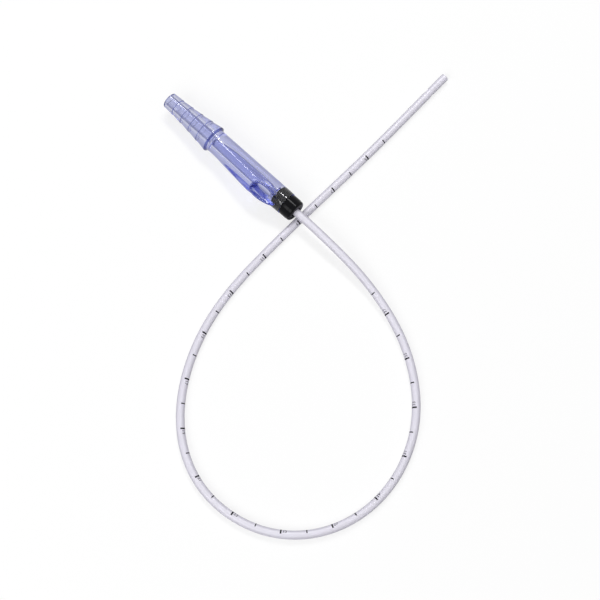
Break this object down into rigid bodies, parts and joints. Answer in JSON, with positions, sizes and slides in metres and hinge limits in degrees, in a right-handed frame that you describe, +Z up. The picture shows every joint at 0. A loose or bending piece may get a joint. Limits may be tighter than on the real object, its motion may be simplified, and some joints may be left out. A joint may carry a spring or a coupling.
{
  "type": "suction catheter",
  "caption": "Soft clear suction tube with an open tip, side eyes and centimetre marks, on a translucent blue control connector with a ribbed taper and an oval thumb port.",
  "frame": {"origin": "on the table, under the middle of the connector and its sleeve", "axes": "+X along the connector's axis from the vacuum end towards the tube, +Z up; the thumb port faces up and 45 degrees towards -Y"},
  "size_m": [0.1759, 0.1955, 0.0133],
  "materials": {
    "translucent_blue": "clear tinted moulding, glossy",
    "gloss_black": "opaque, glossy",
    "milky_clear": "frosted, milky, slightly glossy"
  },
  "bodies": {
    "root": {"control_connector": "translucent_blue", "size_sleeve": "gloss_black", "catheter_tube": "milky_clear"}
  },
  "joints": []
}
